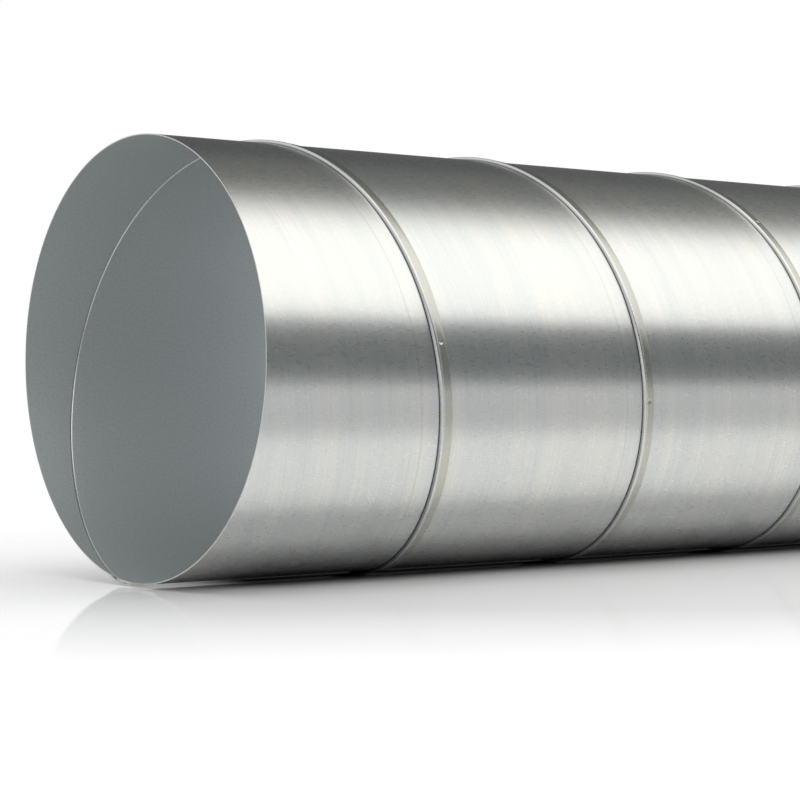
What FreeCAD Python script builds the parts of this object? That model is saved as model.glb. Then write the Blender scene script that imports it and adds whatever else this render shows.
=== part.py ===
import FreeCAD, Part
import os
import Sketcher

os.makedirs("parts", exist_ok=True)
doc = FreeCAD.newDocument("spiral_duct")
V = FreeCAD.Vector

# Driving dimensions, millimetres.
# The duct's axis is X, the near open end lies at x = 0 and Z is up.
SIZES = [
    ("tube_length", 1000.0, "square cut end to square cut end"),
    ("bore_radius", 100.0, "nominal size 200 is the inner diameter"),
    ("sheet_thickness", 0.5, "galvanised sheet"),
    ("seam_pitch", 125.0, "one turn of the seam along the axis"),
    ("seam_foot_x", 58.9, "where the seam's steep flank starts on the top line"),
    ("flank_run", 0.45, "axial run of the steep flank"),
    ("bead_height", 1.5, "crest of the folded bead above the sheet"),
    ("bead_drop", 0.5, "height over which the fold rounds over at the crest"),
    ("bead_run", 0.5, "axial run of that round"),
    ("seam_width", 6.75, "whole lock seam along the axis"),
    ("hem_height", 1.1, "top of the seam where the closed hem turns down"),
    ("hem_drop", 0.5, "height over which the hem rounds over"),
    ("hem_run", 0.5, "axial run of that round"),
    ("hem_undercut", 0.05, "axial run of the hem's short side down to the sheet"),
]
first = {alias: value for alias, value, note in SIZES}

sheet = doc.addObject("Spreadsheet::Sheet", "Sizes")
sheet.Label = "Sizes"
for row, (alias, value, note) in enumerate(SIZES, start=1):
    sheet.set("A%d" % row, alias)
    sheet.set("B%d" % row, "%g" % value)
    sheet.set("C%d" % row, note)
    sheet.setAlias("B%d" % row, alias)
doc.recompute()

body = doc.addObject("PartDesign::Body", "spiral_duct")
body.Label = "spiral_duct"
body.Placement = FreeCAD.Placement(V(0, 0, 0), FreeCAD.Rotation())


def origin_feature(role):
    for item in body.Origin.OriginFeatures:
        if item.Role == role:
            return item
    raise RuntimeError("no origin feature " + role)


def new_sketch(name):
    sketch = body.newObject("Sketcher::SketchObject", name)
    sketch.AttachmentSupport = [(origin_feature("YZ_Plane"), "")]
    sketch.MapMode = "FlatFace"
    return sketch


def bind(sketch, name, constraint, expression):
    sketch.addConstraint(constraint)
    sketch.renameConstraint(sketch.ConstraintCount - 1, name)
    sketch.setExpression("Constraints." + name, expression)


# Every section is drawn square to the axis at x = 0.
# The seam winds right handed, so what lies further along on the top line
# stands further back round the section.
TURN = "(90 deg - 360 deg / Sizes.seam_pitch * (Sizes.seam_foot_x + %s))"


def start_point(radius, along):
    turn = 90.0 - 360.0 / first["seam_pitch"] * (first["seam_foot_x"] + along)
    return FreeCAD.Rotation(V(0, 0, 1), turn).multVec(V(radius, 0, 0))


def bind_corner(sketch, name, edge, end, radius, along):
    turn = TURN % along
    point = sketch.getPoint(edge, end)
    bind(sketch, name + "_y", Sketcher.Constraint("DistanceX", -1, 1, edge, end, point.x),
         "(%s) * cos(%s) * 1 mm" % (radius, turn))
    bind(sketch, name + "_z", Sketcher.Constraint("DistanceY", -1, 1, edge, end, point.y),
         "(%s) * sin(%s) * 1 mm" % (radius, turn))


def join(sketch, edge, end, other, other_end):
    sketch.addConstraint(Sketcher.Constraint("Coincident", edge, end, other, other_end))


# Outside of the sheet with the lock seam standing on it: steep flank, rounded
# bead, sloping top, closed hem
SKIN = "Sizes.bore_radius + Sizes.sheet_thickness"
skin = first["bore_radius"] + first["sheet_thickness"]
flank_height = first["bead_height"] - first["bead_drop"]
crest_run = first["flank_run"] + first["bead_run"]
hem_side_run = first["seam_width"] - first["hem_undercut"]
hem_top_run = hem_side_run - first["hem_run"]
hem_side_height = first["hem_height"] - first["hem_drop"]

foot = start_point(skin, 0.0)
flank_top = start_point(skin + flank_height, first["flank_run"])
crest = start_point(skin + first["bead_height"], crest_run)
hem_top = start_point(skin + first["hem_height"], hem_top_run)
hem_side = start_point(skin + hem_side_height, hem_side_run)
seam_end = start_point(skin, first["seam_width"])

outline = new_sketch("sheet_and_seam_section")
flank = outline.addGeometry(Part.LineSegment(foot, flank_top), False)
bead_middle = start_point(
    skin + flank_height + 0.7 * first["bead_drop"], first["flank_run"] + 0.3 * first["bead_run"])
bead = outline.addGeometry(Part.Arc(flank_top, bead_middle, crest), False)
slope_middle = start_point(
    skin + (first["bead_height"] + first["hem_height"]) / 2, (crest_run + hem_top_run) / 2)
slope = outline.addGeometry(Part.Arc(crest, slope_middle, hem_top), False)
hem_middle = start_point(
    skin + hem_side_height + 0.7 * first["hem_drop"], hem_side_run - 0.3 * first["hem_run"])
hem = outline.addGeometry(Part.Arc(hem_top, hem_middle, hem_side), False)
hem_foot = outline.addGeometry(Part.LineSegment(hem_side, seam_end), False)
plain_middle = start_point(skin, (first["seam_pitch"] + first["seam_width"]) / 2)
plain = outline.addGeometry(Part.Arc(seam_end, plain_middle, foot), False)

# Arcs run anticlockwise, so each one's first point is the later one along the seam
join(outline, flank, 2, bead, 2)
outline.addConstraint(Sketcher.Constraint("Tangent", bead, 1, slope, 2))
outline.addConstraint(Sketcher.Constraint("Tangent", slope, 1, hem, 2))
join(outline, hem, 1, hem_foot, 1)
join(outline, hem_foot, 2, plain, 2)
join(outline, plain, 1, flank, 1)
bind(outline, "sheet_radius", Sketcher.Constraint("Radius", plain, skin), SKIN)
bind(outline, "slope_radius", Sketcher.Constraint("Radius", slope, skin + first["bead_height"]),
     SKIN + " + Sizes.bead_height")
bind_corner(outline, "foot", flank, 1, SKIN, "0")
bind_corner(outline, "flank_top", flank, 2,
            SKIN + " + Sizes.bead_height - Sizes.bead_drop", "Sizes.flank_run")
bind_corner(outline, "crest", slope, 2,
            SKIN + " + Sizes.bead_height", "Sizes.flank_run + Sizes.bead_run")
bind_corner(outline, "hem_top", slope, 1, SKIN + " + Sizes.hem_height",
            "Sizes.seam_width - Sizes.hem_undercut - Sizes.hem_run")
bind_corner(outline, "hem_side", hem_foot, 1,
            SKIN + " + Sizes.hem_height - Sizes.hem_drop", "Sizes.seam_width - Sizes.hem_undercut")
bind_corner(outline, "seam_end", hem_foot, 2, SKIN, "Sizes.seam_width")

# Wound along the axis, the section gives the whole outside and both square ends
wound = body.newObject("PartDesign::AdditiveHelix", "wound_strip")
wound.Profile = outline
wound.ReferenceAxis = (origin_feature("X_Axis"), [""])
wound.Mode = 0
wound.setExpression("Pitch", "Sizes.seam_pitch")
wound.setExpression("Height", "Sizes.tube_length")
wound.LeftHanded = False
doc.recompute()

# The bore, a true cylinder over the whole length
bore_circle = new_sketch("bore_section")
circle = bore_circle.addGeometry(Part.Circle(V(0, 0, 0), V(0, 0, 1), first["bore_radius"]), False)
join(bore_circle, circle, 3, -1, 1)
bind(bore_circle, "bore", Sketcher.Constraint("Radius", circle, first["bore_radius"]),
     "Sizes.bore_radius")
bore = body.newObject("PartDesign::Pocket", "bore")
bore.Profile = bore_circle
bore.Type = "ThroughAll"
bore.Midplane = True
doc.recompute()
if not bore.Shape.Volume < 0.02 * wound.Shape.Volume:
    raise RuntimeError("the bore has not been cut")

for item in doc.Objects:
    if "Invalid" in item.State or "Error" in item.State:
        raise RuntimeError("fault in " + item.Name)
shape = body.Shape
if shape.isNull() or not shape.isValid() or len(shape.Solids) != 1:
    raise RuntimeError("the duct is not one valid solid")
shape.exportStep("parts/spiral_duct.step")
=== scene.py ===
import math

import bmesh
import bpy
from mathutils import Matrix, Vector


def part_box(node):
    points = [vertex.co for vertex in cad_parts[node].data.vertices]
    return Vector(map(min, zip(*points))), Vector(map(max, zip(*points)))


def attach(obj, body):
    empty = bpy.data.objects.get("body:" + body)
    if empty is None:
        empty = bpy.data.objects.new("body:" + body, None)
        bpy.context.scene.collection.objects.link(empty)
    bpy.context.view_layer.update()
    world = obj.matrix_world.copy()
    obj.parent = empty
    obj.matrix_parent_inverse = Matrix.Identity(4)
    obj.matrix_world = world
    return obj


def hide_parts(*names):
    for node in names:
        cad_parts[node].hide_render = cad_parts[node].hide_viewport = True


bl_info = {
    "name": "Spiral duct section",
    "version": (1, 0, 0),
    "blender": (4, 5, 0),
    "location": "3D View > Sidebar > Duct",
    "description": "A round duct wound from galvanised strip with a folded lock seam",
    "category": "Object",
}

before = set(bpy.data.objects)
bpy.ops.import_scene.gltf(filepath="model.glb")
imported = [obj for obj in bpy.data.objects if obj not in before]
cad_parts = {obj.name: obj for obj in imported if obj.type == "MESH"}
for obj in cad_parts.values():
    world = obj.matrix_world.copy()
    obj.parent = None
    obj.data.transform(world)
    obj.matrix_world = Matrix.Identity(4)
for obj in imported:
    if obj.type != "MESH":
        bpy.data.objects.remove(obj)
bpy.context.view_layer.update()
duct_low, duct_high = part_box("spiral_duct")

MM = 0.001
# How near two points of the mesh count as one place
TOUCH = 0.001 * MM

# The winding starts two turns before the near end and runs past the far one
TURNS_BEFORE = 2
TURNS_WOUND = 10

# The lock seam in section. Its places are measured from the foot of its steep flank.
FLAT_START = 7.5 * MM
FLAT_END = -0.35 * MM
# A short run beside the flat sheet keeps the shading of the folds off it
EASE = 0.3 * MM
FLANK_BEND, FLANK_LEAN, FLANK_RUN = 0.35 * MM, 70, 1.106 * MM
CREST_RUN = 0.45 * MM
STEP_BEND, STEP_LEAN = 0.3 * MM, 35
HEM_START, HEM_RUN = 6.2 * MM, 4.75 * MM
HOOK_START, HOOK_RUN = 1.47 * MM, 0.05 * MM
SEAM_HEIGHT = 1.5 * MM

# Marks of the crimping tool on the seam: number of the wind, degrees from the top line
# towards the front, and mm from the seam's foot
CRIMP_MARKS = ((0, 86, 4.0), (1, 101, 3.6), (2, 45, 4.2))


def linear(hex_code):
    """Linear colour of an sRGB hex value."""
    shades = [int(hex_code[i:i + 2], 16) / 255 for i in (1, 3, 5)]
    return [s / 12.92 if s <= 0.04045 else ((s + 0.055) / 1.055) ** 2.4 for s in shades]


class DuctSizes(bpy.types.PropertyGroup):
    length: bpy.props.FloatProperty(
        name="Length", description="From square cut end to square cut end",
        default=duct_high.x - duct_low.x, unit="LENGTH")
    bore: bpy.props.FloatProperty(
        name="Bore radius", description="Half the nominal size, which is the inner diameter",
        default=100 * MM, unit="LENGTH")
    sheet: bpy.props.FloatProperty(
        name="Sheet", description="Thickness of the strip, less the gap between the plies",
        default=0.47 * MM, unit="LENGTH")
    ply: bpy.props.FloatProperty(
        name="Ply spacing", description="From one ply of the lock seam to the next",
        default=0.5 * MM, unit="LENGTH")
    pitch: bpy.props.FloatProperty(
        name="Seam pitch", description="One turn of the seam along the axis",
        default=125 * MM, unit="LENGTH")
    seam_foot: bpy.props.FloatProperty(
        name="Seam foot", description="Where the seam's steep flank starts on the top line",
        default=58.9 * MM, unit="LENGTH")
    steps: bpy.props.IntProperty(
        name="Steps", description="Faces round one turn", default=160)


class DuctColours(bpy.types.PropertyGroup):
    zinc: bpy.props.FloatVectorProperty(
        name="Zinc", description="Bright rolled zinc coating", subtype="COLOR",
        default=linear("#CCCCC9"))
    zinc_cool: bpy.props.FloatVectorProperty(
        name="Cool zinc", description="The same zinc in its bluish bands", subtype="COLOR",
        default=linear("#C4C7C6"))
    inside: bpy.props.FloatVectorProperty(
        name="Inside", description="Dull zinc inside the duct", subtype="COLOR",
        default=linear("#AAAFB0"))
    # Painted shade in the crease along the foot of the seam
    foot_shade: bpy.props.FloatVectorProperty(
        name="Painted shade", description="Dirt along the foot of the seam", subtype="COLOR",
        default=linear("#3A4245"))
    # The seam band is duller zinc from the closing rollers, and darker still with painted shade
    # for its tilted face
    seam: bpy.props.FloatVectorProperty(
        name="Seam", description="Zinc that the closing rollers have dulled", subtype="COLOR",
        default=linear("#B2B2A9"))
    floor: bpy.props.FloatVectorProperty(
        name="Floor", description="Pale studio floor", subtype="COLOR",
        default=linear("#F2F2F2"))


def add_node(tree, kind, feeds=(), **settings):
    """Adds a node, gives it its settings, and feeds its sockets by number or name.

    MapRange is fed with a value, the range that it comes from and the range that it goes to.
    """
    made = tree.nodes.new("ShaderNode" + kind)
    for name, value in settings.items():
        setattr(made, name, value)
    for socket, feed in feeds.items() if isinstance(feeds, dict) else enumerate(feeds):
        if isinstance(feed, bpy.types.NodeSocket):
            tree.links.new(feed, made.inputs[socket])
        elif feed is not None:
            made.inputs[socket].default_value = feed
    return made


def new_material(name):
    """An empty material and its node tree."""
    material = bpy.data.materials.new(name)
    material.use_nodes = True
    material.node_tree.nodes.clear()
    return material, material.node_tree


# Folding the strip

class Sheet:
    """Follows the free edge of the strip while it is drawn out and bent."""

    def __init__(self, x, z, heading):
        self.x, self.z, self.heading = x, z, heading

    def run(self, length):
        """Draws the strip out straight ahead."""
        step_x = length * math.cos(self.heading)
        step_z = length * math.sin(self.heading)
        bpy.ops.mesh.extrude_region_move(
            TRANSFORM_OT_translate={"value": (step_x, 0, step_z)})
        self.x += step_x
        self.z += step_z

    def bend(self, radius, degrees, steps):
        """Bends to the left for plus, to the right for minus."""
        side = math.copysign(1, degrees)
        centre_x = self.x - side * radius * math.sin(self.heading)
        centre_z = self.z + side * radius * math.cos(self.heading)
        bpy.ops.mesh.spin(
            steps=steps, angle=math.radians(degrees),
            center=(centre_x, 0, centre_z), axis=(0, 1, 0))
        self.heading += math.radians(degrees)
        self.x = centre_x + side * radius * math.sin(self.heading)
        self.z = centre_z - side * radius * math.cos(self.heading)


def pick_edge(piece, x):
    """Selects the short side of the flat strip that stands at x."""
    bpy.ops.mesh.select_all(action="DESELECT")
    net = bmesh.from_edit_mesh(piece.data)
    for edge in net.edges:
        edge.select_set(all(abs(corner.co.x - x) < TOUCH for corner in edge.verts))
    bmesh.update_edit_mesh(piece.data)


class DUCT_OT_wound_strip(bpy.types.Operator):
    """Folds the strip's two edges, winds it into the duct and cuts both ends square"""
    bl_idname = "duct.wound_strip"
    bl_label = "Wound strip"

    def execute(self, context):
        sizes = context.scene.duct_sizes
        sheet = sizes.sheet
        ply = sizes.ply
        foot = sizes.seam_foot - TURNS_BEFORE * sizes.pitch
        next_foot = foot + sizes.pitch
        level = sizes.bore + sheet / 2
        left = foot + FLAT_START
        right = next_foot + FLAT_END

        bpy.ops.object.select_all(action="DESELECT")
        bpy.ops.mesh.primitive_plane_add(
            size=1, location=((left + right) / 2, 0, level), rotation=(math.pi / 2, 0, 0))
        strip = context.active_object
        strip.scale = (right - left, sheet, 1)
        strip.name = strip.data.name = "wound_strip"
        bpy.ops.object.transform_apply(location=True, rotation=True, scale=True)
        bpy.ops.object.mode_set(mode="EDIT")
        bpy.ops.mesh.select_mode(type="EDGE")

        # The leading edge climbs over the seam and closes it with a hem
        pick_edge(strip, right)
        edge = Sheet(right, level, 0.0)
        edge.run(EASE)
        edge.bend(FLANK_BEND, FLANK_LEAN, steps=3)
        edge.run(FLANK_RUN)
        edge.bend(FLANK_BEND, -FLANK_LEAN, steps=4)
        edge.run(CREST_RUN)
        # Past the hook it steps down by one ply
        edge.bend(STEP_BEND, -STEP_LEAN, steps=3)
        lean = math.radians(STEP_LEAN)
        drop = edge.z - (level + 2 * ply) - STEP_BEND * (1 - math.cos(lean))
        edge.run(drop / math.sin(lean))
        edge.bend(STEP_BEND, STEP_LEAN, steps=3)
        edge.run(next_foot + HEM_START - edge.x)
        edge.bend(ply / 2, -180, steps=6)
        edge.run(HEM_RUN)

        # The trailing edge hooks back round the end of the hem
        pick_edge(strip, left)
        edge = Sheet(left, level, math.pi)
        edge.run(EASE)
        edge.run(edge.x - foot - HOOK_START)
        edge.bend(ply, -180, steps=6)
        edge.run(HOOK_RUN)

        # Only the outline of the section is wound
        bpy.ops.mesh.select_all(action="SELECT")
        bpy.ops.mesh.remove_doubles(threshold=TOUCH)
        bpy.ops.mesh.region_to_loop()
        bpy.ops.mesh.select_all(action="INVERT")
        bpy.ops.mesh.delete(type="EDGE_FACE")
        bpy.ops.object.mode_set(mode="OBJECT")

        bpy.ops.object.modifier_add(type="SCREW")
        wind = strip.modifiers[-1]
        wind.axis = "X"
        wind.angle = 2 * math.pi
        wind.screw_offset = sizes.pitch
        wind.iterations = TURNS_WOUND
        wind.steps = wind.render_steps = sizes.steps
        wind.use_smooth_shade = True
        bpy.ops.object.modifier_apply(modifier=wind.name)

        # Both ends are cut square, and the cut edge of the sheet is closed
        bpy.ops.object.mode_set(mode="EDIT")
        bpy.ops.mesh.select_mode(type="EDGE")
        for cut, facing in ((0.0, -1), (sizes.length, 1)):
            bpy.ops.mesh.select_all(action="SELECT")
            bpy.ops.mesh.bisect(
                plane_co=(cut, 0, 0), plane_no=(facing, 0, 0), clear_outer=True,
                threshold=TOUCH / 10)
            bpy.ops.mesh.select_all(action="DESELECT")
            net = bmesh.from_edit_mesh(strip.data)
            for side in net.edges:
                at_cut = abs(side.verts[0].co.x - cut) < 10 * TOUCH
                side.select_set(side.is_boundary and at_cut)
            bmesh.update_edit_mesh(strip.data)
            bpy.ops.mesh.edge_face_add()
        bpy.ops.mesh.select_all(action="SELECT")
        bpy.ops.mesh.normals_make_consistent(inside=False)
        bpy.ops.object.mode_set(mode="OBJECT")
        bpy.ops.object.shade_smooth_by_angle(angle=math.radians(35))

        strip.data.materials.append(galvanised_sheet(sizes, context.scene.duct_colours))
        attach(strip, "root")
        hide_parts("spiral_duct")
        return {"FINISHED"}


# Cold rolled steel strip, hot dip galvanised and skin passed: the rolling leaves
# fine lines along the strip, so reflections stay crisp round the duct and smear
# along it.
def galvanised_sheet(sizes, colours):
    material, tree = new_material("Galvanised steel sheet")
    place = add_node(tree, "TexCoord").outputs["Object"]
    x, y, z = add_node(tree, "SeparateXYZ", [place]).outputs

    # Turn round the axis from the top line, one at a full turn
    angle = add_node(tree, "Math", [z, y], operation="ARCTAN2")
    turns = add_node(tree, "Math", [angle.outputs[0], 1 / (2 * math.pi), -0.25],
                     operation="MULTIPLY_ADD")
    # How many pitches a point lies past the seam's foot. With its turn taken off, the
    # whole part is the number of the wind and the rest is the place across the strip.
    along = add_node(tree, "Math", [x, 1 / sizes.pitch, -sizes.seam_foot / sizes.pitch],
                     operation="MULTIPLY_ADD")
    winds = add_node(tree, "Math", [along.outputs[0], turns.outputs[0]], operation="SUBTRACT")
    across = add_node(tree, "Math", [winds.outputs[0]], operation="FRACT")
    number = add_node(tree, "Math", [winds.outputs[0]], operation="FLOOR")
    length = add_node(tree, "Math", [number.outputs[0], turns.outputs[0]], operation="ADD")
    # The strip laid flat, in metres along it and across it
    across_m = add_node(tree, "Math", [across.outputs[0], sizes.pitch], operation="MULTIPLY")
    length_m = add_node(tree, "Math", [length.outputs[0], 2 * math.pi * sizes.bore],
                        operation="MULTIPLY")
    strip = add_node(tree, "CombineXYZ", [length_m.outputs[0], across_m.outputs[0], 0.0])
    strip = strip.outputs[0]

    # Distance from the seam's foot, less than nought before it
    around = add_node(tree, "Math", [winds.outputs[0], 0.5, -0.5], operation="WRAP")
    around_m = add_node(tree, "Math", [around.outputs[0], sizes.pitch], operation="MULTIPLY")

    def stripe(middle, half, soft):
        """One on a line that runs with the seam, nought beside it. All three are in mm."""
        off = add_node(tree, "Math", [around_m.outputs[0], middle * MM], operation="SUBTRACT")
        off = add_node(tree, "Math", [off.outputs[0]], operation="ABSOLUTE")
        edge = add_node(tree, "MapRange", [
            off.outputs[0], (half - soft) * MM, (half + soft) * MM, 1.0, 0.0])
        return edge.outputs[0]

    # Each pattern is a noise with so many cells to the metre. The rolling lines are
    # 0.8 mm apart and some 60 mm long, and the broad bands of cooler and warmer zinc
    # 12 mm apart. The forming rollers leave soft waves, 8 mm by 16 mm, and the zinc has
    # rougher flecks, 1 mm by 3 mm.
    patterns = []
    for source, per_metre, detail, dimensions in (
            (strip, (16, 1250, 1), 2.0, "2D"),
            (strip, (4, 80, 1), 3.0, "2D"),
            (place, (60, 120, 120), 2.0, "3D"),
            (place, (300, 900, 900), 1.0, "3D")):
        cells = add_node(tree, "Mapping", {"Vector": source, "Scale": per_metre})
        noise = add_node(tree, "TexNoise", {
            "Vector": cells.outputs[0], "Scale": 1.0, "Detail": detail},
            noise_dimensions=dimensions)
        patterns.append(noise.outputs[0])
    lines, bands, waves, flecks = patterns

    # The zinc's own shade, from cool to warm
    tint = add_node(tree, "MapRange", [bands, 0.35, 0.65, 0.0, 1.0])
    zinc = add_node(tree, "MixRGB", [
        tint.outputs[0], (*colours.zinc_cool, 1), (*colours.zinc, 1)])
    tone = add_node(tree, "MapRange", [lines, 0.3, 0.7, 0.94, 1.0])
    zinc = add_node(tree, "VectorMath", {0: zinc.outputs[0], "Scale": tone.outputs[0]},
                    operation="SCALE")
    rough = add_node(tree, "MapRange", [flecks, 0.3, 0.7, 0.27, 0.31])

    # The rolled band on the seam is duller zinc, and darker still with painted shade for its
    # tilted face
    colour = add_node(tree, "MixRGB", [
        stripe(4.6, 2.1, 0.25), zinc.outputs[0], (*colours.seam, 1)])
    # Painted shade: a dark line in the crease along the foot of the seam
    colour = add_node(tree, "MixRGB", [
        stripe(-0.15, 0.3, 0.15), colour.outputs[0], (*colours.foot_shade, 1)])
    # The forming roller's edge leaves a fine line 10 mm before the seam, dented by a bump and
    # darkened with painted shade
    scored = stripe(-10.0, 0.2, 0.2)
    score_shade = add_node(tree, "MapRange", [scored, 0.0, 1.0, 1.0, 0.8])
    colour = add_node(tree, "VectorMath", {0: colour.outputs[0], "Scale": score_shade.outputs[0]},
                      operation="SCALE")

    # Inside, the zinc was never burnished by the forming rollers and stays dull, with
    # a fine grain of dots 1.5 mm apart
    radius = add_node(tree, "CombineXYZ", [0.0, y, z])
    radius = add_node(tree, "VectorMath", [radius.outputs[0]], operation="LENGTH")
    inside = add_node(tree, "Math", [radius.outputs["Value"], sizes.bore + 0.03 * MM],
                      operation="LESS_THAN").outputs[0]
    dots = add_node(tree, "TexVoronoi", {"Vector": strip, "Scale": 650.0, "Randomness": 0.6},
                    voronoi_dimensions="2D")
    dots = add_node(tree, "MapRange", [dots.outputs["Distance"], 0.2, 0.6, 1.0, 0.9])
    dull = add_node(tree, "VectorMath", {0: (*colours.inside,), "Scale": dots.outputs[0]},
                    operation="SCALE")
    colour = add_node(tree, "MixRGB", [inside, colour.outputs[0], dull.outputs[0]])
    metal = add_node(tree, "MapRange", [inside, 0.0, 1.0, 1.0, 0.35])
    rough = add_node(tree, "MapRange", [inside, 0.0, 1.0, rough.outputs[0], 0.5])

    # Dents where the seam was crimped
    dents = 0.0
    seam_top = sizes.bore + SEAM_HEIGHT
    for wind, turned, off in CRIMP_MARKS:
        side = math.radians(90 + turned)
        spot = (sizes.seam_foot + sizes.pitch * (wind + turned / 360) + off * MM,
                seam_top * math.cos(side), seam_top * math.sin(side))
        away = add_node(tree, "VectorMath", [place, spot], operation="DISTANCE")
        dent = add_node(tree, "MapRange", [
            away.outputs["Value"], 0.5 * MM, 1.5 * MM, 1.0, 0.0], interpolation_type="SMOOTHSTEP")
        dents = add_node(tree, "Math", [dents, dent.outputs[0]], operation="MAXIMUM").outputs[0]

    # Heights in mm, less than nought where the mark goes in
    relief = None
    for height, deep in ((lines, 0.002), (waves, 0.03), (scored, -0.02), (dents, -0.2)):
        relief = add_node(tree, "Bump", {
            "Height": height, "Strength": 1.0, "Distance": abs(deep) * MM,
            "Normal": relief}, invert=deep < 0).outputs[0]
    grain = add_node(tree, "CombineXYZ", [1.0, 0.0, 0.0])
    skin = add_node(tree, "BsdfPrincipled", {
        "Base Color": colour.outputs[0], "Metallic": metal.outputs[0],
        "Roughness": rough.outputs[0], "Anisotropic": 0.5, "Tangent": grain.outputs[0],
        "Normal": relief})
    add_node(tree, "OutputMaterial", [skin.outputs[0]])
    return material


# The stage

# A painted contact shadow makes the floor darkest on the line that the duct rests on, from here
# to its far end, and leaves it as pale as elsewhere from this far beside it
PAINTED_SHADOW_FROM = 60 * MM
PAINTED_SHADOW_WIDTH = 55 * MM
# The floor's polish sets in along this direction, which leads away from the front
BACKWARDS = (0.625, 0.781, 0)
POLISH_STARTS, POLISH_FULL, POLISH_SHARE = -0.285, -0.105, 0.33
# It ends between these distances from the duct
POLISH_HOLDS, POLISH_ENDS = 0.3, 0.45

# Long cards and a softbox beside and over the duct, which only reflections show: name,
# material, middle, length and width, turn about X in degrees, and light. The light is a
# colour, and for the softbox its strength and the heights between which it fades.
PANELS = (
    ("front_card", "Front card", (1.35, -0.50, 0.034), (3.3, 0.272), 90, ("#727778",)),
    ("top_card", "Top card", (2.95, 0.80, 2.12), (6.1, 1.4), 0, ("#6F716D",)),
    ("back_card", "Back card", (2.95, 1.30, 1.135), (6.1, 2.01), 78.5, ("#4C5050",)),
    ("softbox", "Softbox", (0.5, -0.8425, 1.4365), (5, 2.642), 30.15,
     ("#FFFEFA", 1.78, (0.64, 0.88))),
)

# The room's light is even, with more of it from in front and above. That part sets in
# and ends between these degrees, counted up from level at the front.
ROOM_LIGHT, KEY_LIGHT = 0.82, 0.95
KEY_RISES, KEY_FALLS = (10, 30), (80, 100)


def seen_directly(tree):
    """One for what the camera, a mirror or a glass shows, nought for light on things."""
    path = add_node(tree, "LightPath").outputs
    seen = add_node(tree, "Math", [path["Is Camera Ray"], path["Is Glossy Ray"]], operation="ADD")
    seen = add_node(tree, "Math", [seen.outputs[0], path["Is Transmission Ray"]], operation="ADD")
    return add_node(tree, "Math", [seen.outputs[0], 1.0], operation="MINIMUM").outputs[0]


def glow(name, colour, strength=1.0, fade=None):
    """Even light, or one that fades to a sixth between two heights of the panel."""
    material, tree = new_material(name)
    if fade:
        place = add_node(tree, "TexCoord").outputs["UV"]
        up = add_node(tree, "SeparateXYZ", [place]).outputs["Y"]
        strength = add_node(tree, "MapRange", [up, *fade, strength, strength / 6]).outputs[0]
    light = add_node(tree, "Emission", [(*linear(colour), 1), strength])
    add_node(tree, "OutputMaterial", [light.outputs[0]])
    return material


def panel(name, material, middle, size, turn):
    """A flat panel of the studio that is seen in reflections alone."""
    bpy.ops.object.select_all(action="DESELECT")
    bpy.ops.mesh.primitive_plane_add(
        size=1, location=middle, rotation=(math.radians(turn), 0, 0))
    made = bpy.context.active_object
    made.scale = (*size, 1)
    made.name = made.data.name = name
    bpy.ops.object.transform_apply(location=True, rotation=True, scale=True)
    made.data.materials.append(material)
    made.visible_camera = made.visible_diffuse = False
    made.visible_shadow = made.visible_transmission = False
    return made


def floor_finish(colours):
    """Pale and matt, with a painted contact shadow along the line under the duct, and polished
    round it.
    """
    material, tree = new_material("Pale floor")
    seen = seen_directly(tree)
    pale = add_node(tree, "MixRGB", [seen, (*colours.floor, 1), (1, 1, 1, 1)])
    place = add_node(tree, "TexCoord").outputs["Object"]
    x, y = add_node(tree, "SeparateXYZ", [place]).outputs[:2]
    # Distance from the line that the duct rests on
    line = add_node(tree, "Clamp", [x, PAINTED_SHADOW_FROM, duct_high.x])
    off = add_node(tree, "Math", [x, line.outputs[0]], operation="SUBTRACT")
    off = add_node(tree, "CombineXYZ", [off.outputs[0], y, 0.0])
    off = add_node(tree, "VectorMath", [off.outputs[0]], operation="LENGTH").outputs["Value"]
    # Painted contact shadow: nought on the line under the duct, and it darkens both the matt
    # floor and its polish
    gap = add_node(tree, "MapRange", [off, 0.0, PAINTED_SHADOW_WIDTH, 0.0, 1.0],
                   interpolation_type="SMOOTHSTEP").outputs[0]
    pale = add_node(tree, "VectorMath", {0: pale.outputs[0], "Scale": gap}, operation="SCALE")
    matt = add_node(tree, "BsdfDiffuse", [pale.outputs[0]])
    polish = add_node(tree, "BsdfGlossy", {"Color": gap, "Roughness": 0.05})
    back = add_node(tree, "VectorMath", [place, BACKWARDS], operation="DOT_PRODUCT")
    near = add_node(tree, "MapRange", [
        back.outputs["Value"], POLISH_STARTS, POLISH_FULL, 0.0, POLISH_SHARE])
    far = add_node(tree, "MapRange", [off, POLISH_HOLDS, POLISH_ENDS, 1.0, 0.0])
    share = add_node(tree, "Math", [near.outputs[0], far.outputs[0]], operation="MULTIPLY")
    top = add_node(tree, "MixShader", [share.outputs[0], matt.outputs[0], polish.outputs[0]])
    add_node(tree, "OutputMaterial", [top.outputs[0]])
    return material


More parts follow.
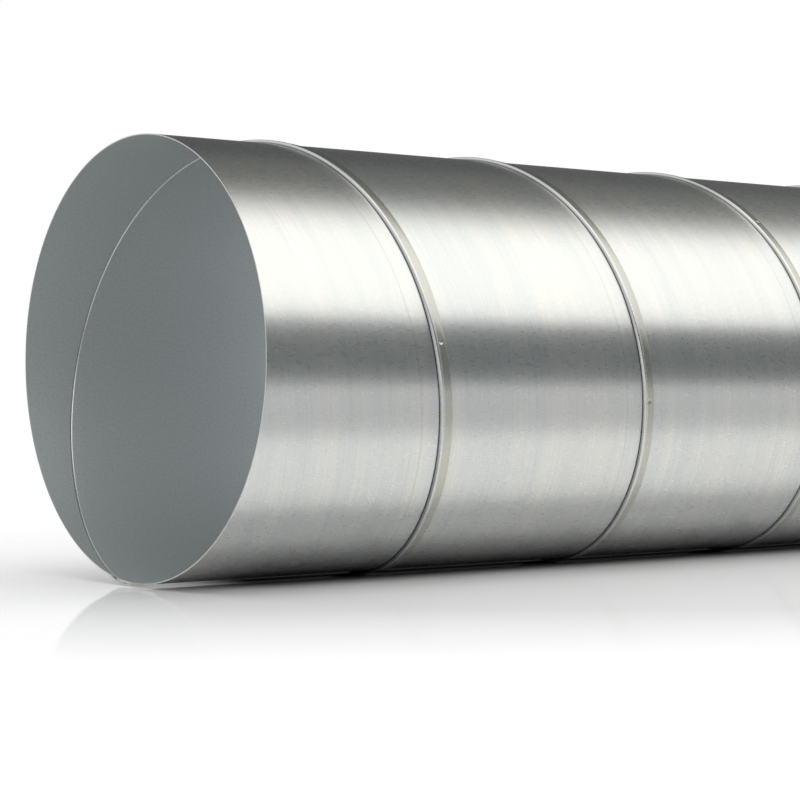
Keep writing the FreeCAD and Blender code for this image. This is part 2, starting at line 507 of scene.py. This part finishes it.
def room_light():
    """Light from all sides, least from beyond the near end, most from the front and above."""
    world = bpy.data.worlds.new("Studio")
    world.use_nodes = True
    tree = world.node_tree
    tree.nodes.clear()
    aim = add_node(tree, "SeparateXYZ", [add_node(tree, "TexCoord").outputs["Generated"]])
    front = add_node(tree, "Math", [aim.outputs["Y"], -1.0], operation="MULTIPLY")
    rise = add_node(tree, "Math", [aim.outputs["Z"], front.outputs[0]], operation="ARCTAN2")
    above, below = (
        add_node(tree, "MapRange", [rise.outputs[0], *map(math.radians, limits), *levels])
        for limits, levels in ((KEY_RISES, (0.0, 1.0)), (KEY_FALLS, (1.0, 0.0))))
    key = add_node(tree, "Math", [above.outputs[0], below.outputs[0]], operation="MULTIPLY")
    key = add_node(tree, "Math", [key.outputs[0], KEY_LIGHT, ROOM_LIGHT],
                   operation="MULTIPLY_ADD")
    # A tenth is left of what comes along the axis, from beyond the near end
    left = add_node(tree, "MapRange", [aim.outputs["X"], -0.9, -0.1, 0.1, 1.0])
    key = add_node(tree, "Math", [key.outputs[0], left.outputs[0]], operation="MULTIPLY")
    strength = add_node(tree, "MapRange", [seen_directly(tree), 0.0, 1.0, key.outputs[0], 1.0])
    light = add_node(tree, "Background", [(1, 1, 1, 1), strength.outputs[0]])
    add_node(tree, "OutputWorld", [light.outputs[0]])
    return world


class DUCT_OT_stage(bpy.types.Operator):
    """Sets up the pale floor, the dark cards, the softbox, the room's light and the camera"""
    bl_idname = "duct.stage"
    bl_label = "Stage"

    def execute(self, context):
        scene = context.scene
        bpy.ops.object.select_all(action="DESELECT")
        bpy.ops.mesh.primitive_plane_add(size=60, location=(0, 0, duct_low.z))
        floor = context.active_object
        floor.name = "floor"
        bpy.ops.object.transform_apply(location=True)
        floor.data.materials.append(floor_finish(scene.duct_colours))

        panels = [
            panel(name, glow(material, *light), middle, size, turn)
            for name, material, middle, size, turn, light in PANELS]

        # A small lamp in the duct, which stands for what its own walls throw back
        bpy.ops.object.light_add(
            type="AREA", radius=0.1, location=(0.36, -0.05, 0.0), rotation=(math.pi / 2, 0, 0))
        lamp = context.active_object
        lamp.name = lamp.data.name = "inner_lamp"
        lamp.data.energy = 1.1
        lamp.visible_camera = lamp.visible_glossy = False

        scene.world = room_light()

        bpy.ops.object.camera_add(
            location=(-0.53621, -0.85826, -0.01644),
            rotation=[math.radians(a) for a in (89.88409, 0.14483, -38.67035)])
        camera = context.active_object
        camera.data.lens = 101.2635
        camera.data.sensor_width = 36
        camera.data.clip_start = 0.05
        scene.camera = camera
        scene.view_settings.view_transform = "Standard"

        return {"FINISHED"}


class DUCT_PT_panel(bpy.types.Panel):
    """Lists the duct's operators and sizes"""
    bl_idname = "DUCT_PT_panel"
    bl_label = "Spiral duct"
    bl_space_type = "VIEW_3D"
    bl_region_type = "UI"
    bl_category = "Duct"

    def draw(self, context):
        for group in (context.scene.duct_sizes, context.scene.duct_colours):
            for name in group.bl_rna.properties.keys():
                if name not in ("rna_type", "name"):
                    self.layout.prop(group, name)
        for maker in MAKERS:
            self.layout.operator(maker.bl_idname)


MAKERS = (DUCT_OT_wound_strip, DUCT_OT_stage)
CLASSES = (DuctSizes, DuctColours) + MAKERS + (DUCT_PT_panel,)


def register():
    for kind in CLASSES:
        bpy.utils.register_class(kind)
    bpy.types.Scene.duct_sizes = bpy.props.PointerProperty(type=DuctSizes)
    bpy.types.Scene.duct_colours = bpy.props.PointerProperty(type=DuctColours)


def unregister():
    del bpy.types.Scene.duct_colours
    del bpy.types.Scene.duct_sizes
    for kind in reversed(CLASSES):
        bpy.utils.unregister_class(kind)


def main():
    register()
    bpy.ops.duct.wound_strip()
    bpy.ops.duct.stage()


if __name__ == "__main__":
    main()
